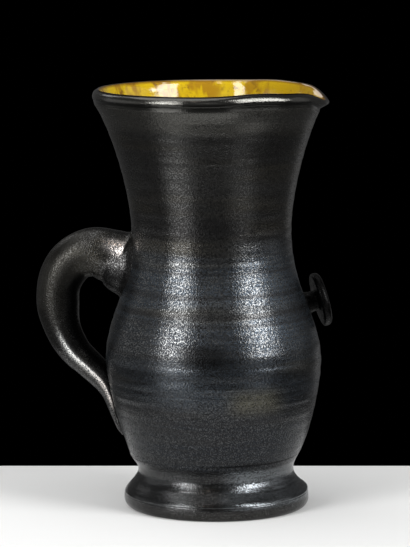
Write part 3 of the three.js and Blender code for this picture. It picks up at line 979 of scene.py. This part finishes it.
def yellow_glaze():
    """The inside glaze: amber runs and spots, deeper to the right, brown at the lip's edge."""
    n = Nodes("yellow_glaze")
    runs = n.noise(1, 3.0, 0.6, vector=n.stretched((70, 70, 26)), distort=0.4)
    spots = n.noise(150, 3.0, 0.65)
    colour = n.mix(n.ramp(runs, 0.46, 0.58), YELLOW, AMBER)
    colour = n.mix(n.ramp(spots, 0.54, 0.68, 0.0, 0.75), colour, AMBER_DARK)
    colour = n.mix(n.ramp(n.noise(38, 2.0, 0.5), 0.55, 0.75, 0.0, 0.6), colour, YELLOW_PALE)
    colour = n.mix(n.ramp(n.along, 0.010, 0.080, 0, 0.8), colour, YELLOW_DEEP)
    edge = n.attribute("glaze")
    colour = n.mix(n.ramp(edge, 0.80, 0.93, 0.0, 0.75), colour, AMBER_DARK)
    colour = n.mix(n.ramp(edge, 0.90, 0.985), colour, BREAK_BROWN)
    n.put("Base Color", colour)
    n.put("Roughness", n.ramp(spots, 0.4, 0.7, 0.07, 0.15))
    n.put("Coat Weight", 0.75)
    n.put("Coat Roughness", 0.07)
    waves_over = n.bump(n.noise(90, 2.0, 0.5), YELLOW_WAVE_DEPTH)
    n.put("Normal", n.bump(spots, YELLOW_SPOT_DEPTH, waves_over))
    return n.material


thrown = thrown_lustre()
rolled = rolled_lustre()
pressed = pressed_lustre()
yellow = yellow_glaze()

PIECES = [
    (make_body(thrown), "thrown_body", "black_lustre_glaze"),
    (make_foot(thrown), "pedestal_foot", "black_lustre_glaze"),
    (make_handle(rolled), "handle", "black_lustre_glaze"),
    (make_knob(pressed), "pouring_knob", "black_lustre_glaze"),
    (make_lining(yellow), "interior_glaze", "yellow_glaze"),
]
for piece, node, slot in PIECES:
    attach(piece, "root")
    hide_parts(node)

# Table, light and camera. Right and ahead are the camera's directions over the table.

AZIMUTH = math.radians(7.0)
RIGHT = Vector((math.cos(AZIMUTH), math.sin(AZIMUTH), 0))
AHEAD = Vector((-math.sin(AZIMUTH), math.cos(AZIMUTH), 0))
POT_AXIS = Vector((FOOT_AXIS_X * MM, 0, 0))

TABLE_LEFT, TABLE_RIGHT = -0.20, 0.18
TABLE_FRONT, TABLE_BACK = -0.24, 0.117
TABLE_THICKNESS, TABLE_BEVEL = 0.03, 0.0015
TABLE_COOL, TABLE_WARM = (0.80, 0.805, 0.80), (0.83, 0.83, 0.825)
ROOM_LIGHT = 0.07

CAMERA_BACK, CAMERA_LEFT, CAMERA_HEIGHT, CAMERA_PITCH = 1.9227, 0.0072, 0.4169, 0.14039
CAMERA_LENS, CAMERA_SENSOR = 206.0, 36.0


def around(right, ahead, up):
    """A place given from the middle of the pot's foot, in metres."""
    return POT_AXIS + RIGHT * right + AHEAD * ahead + Vector((0, 0, up))


def make_table():
    n = Nodes("table_white")
    n.put("Base Color", n.mix(n.noise(3.0, 2.0, 0.5), TABLE_COOL, TABLE_WARM))
    n.put("Roughness", 0.9)
    n.put("Specular IOR Level", 0.1)
    bm = bmesh.new()
    corners = [(TABLE_LEFT, TABLE_FRONT), (TABLE_RIGHT, TABLE_FRONT),
               (TABLE_RIGHT, TABLE_BACK), (TABLE_LEFT, TABLE_BACK)]
    top = [bm.verts.new(around(u, v, 0)) for u, v in corners]
    low = [bm.verts.new(around(u, v, -TABLE_THICKNESS)) for u, v in corners]
    bm.faces.new(top)
    bm.faces.new(low[::-1])
    for i in range(4):
        bm.faces.new((low[i], low[(i + 1) % 4], top[(i + 1) % 4], top[i]))
    bmesh.ops.bevel(bm, geom=list(bm.edges), offset=TABLE_BEVEL, segments=3, affect="EDGES")
    mesh = bpy.data.meshes.new("table_top")
    bm.to_mesh(mesh)
    bm.free()
    mesh.materials.append(n.material)
    table = bpy.data.objects.new("table_top", mesh)
    bpy.context.scene.collection.objects.link(table)


def make_light(name, spot, target, width, height, radiance, colour=(1, 1, 1)):
    """A rectangle of light at a spot, facing a target, and unseen by the camera."""
    light = bpy.data.lights.new(name, "AREA")
    light.color = colour
    light.shape = "RECTANGLE"
    light.size, light.size_y = width, height
    light.energy = radiance * math.pi * width * height
    lamp = bpy.data.objects.new(name, light)
    lamp.location = spot
    lamp.rotation_euler = (target - spot).to_track_quat("-Z", "Y").to_euler()
    lamp.visible_camera = False
    bpy.context.scene.collection.objects.link(lamp)


def beside(name, degrees, distance, low, high, width, radiance, colour=(1, 1, 1)):
    """An upright strip of light at an angle from the camera's side of the pot, minus is left."""
    turn = math.radians(degrees)
    middle = (low + high) / 2
    spot = around(distance * math.sin(turn), -distance * math.cos(turn), middle)
    make_light(name, spot, around(0, 0, middle - 0.12), width, high - low, radiance, colour)


def make_room():
    """A dark room: its faint light reaches the pot, and the camera sees it as black."""
    world = bpy.data.worlds.new("dark_room")
    world.use_nodes = True
    bpy.context.scene.world = world
    tree = world.node_tree
    background = tree.nodes["Background"]
    rays = tree.nodes.new("ShaderNodeLightPath")
    strength = tree.nodes.new("ShaderNodeMath")
    strength.operation = "SUBTRACT"
    strength.use_clamp = True
    strength.inputs[0].default_value = ROOM_LIGHT
    tree.links.new(rays.outputs["Is Camera Ray"], strength.inputs[1])
    tree.links.new(strength.outputs["Value"], background.inputs["Strength"])
    background.inputs["Color"].default_value = (1, 1, 1, 1)


make_table()
beside("left_strip", -44.8, 1.9, 0.25, 0.82, 0.84, 11.3)
beside("left_strip_middle", -44.8, 1.9, 0.84, 1.36, 0.84, 7.5)
beside("left_strip_top", -45.5, 1.9, 1.40, 2.35, 0.55, 7.5)
beside("left_low_card", -42, 0.60, -0.22, 0.12, 0.30, 2.2)
beside("back_left_card", -138, 1.6, 0.95, 1.50, 0.5, 1.9)
beside("left_skirt", -95, 1.2, -0.10, 0.60, 1.2, 0.4)
beside("right_strip", 58.5, 1.9, 0.48, 1.40, 0.90, 11.4)
beside("warm_card", -17, 1.9, 2.05, 2.90, 0.30, 3.0, (1.0, 0.86, 0.74))
beside("right_strip_top", 52, 1.9, 1.44, 2.35, 0.85, 8.0)
beside("right_low_card", 46, 0.60, -0.20, 0.10, 0.30, 0.7)
beside("right_skirt", 95, 1.2, -0.05, 0.95, 0.8, 0.35)
beside("back_right_card", 148, 2.0, -0.45, -0.03, 0.7, 0.18)
make_light("front_fill", around(0.1, -2.2, 0.95), around(0, 0, 0.12), 0.9, 0.5, 0.55)
make_light("top_fill", around(-0.40, 0.10, 1.6), around(-0.1, 0.05, 0), 1.5, 1.5, 1.78)
make_room()

camera_data = bpy.data.cameras.new("photo_camera")
camera_data.lens = CAMERA_LENS
camera_data.sensor_width = CAMERA_SENSOR
camera_data.clip_start, camera_data.clip_end = 0.1, 20
camera = bpy.data.objects.new("photo_camera", camera_data)
camera.location = around(-CAMERA_LEFT, -CAMERA_BACK, CAMERA_HEIGHT)
camera.rotation_euler = (math.pi / 2 - CAMERA_PITCH, 0, AZIMUTH)
bpy.context.scene.collection.objects.link(camera)
bpy.context.scene.camera = camera
bpy.context.scene.view_settings.view_transform = "Standard"
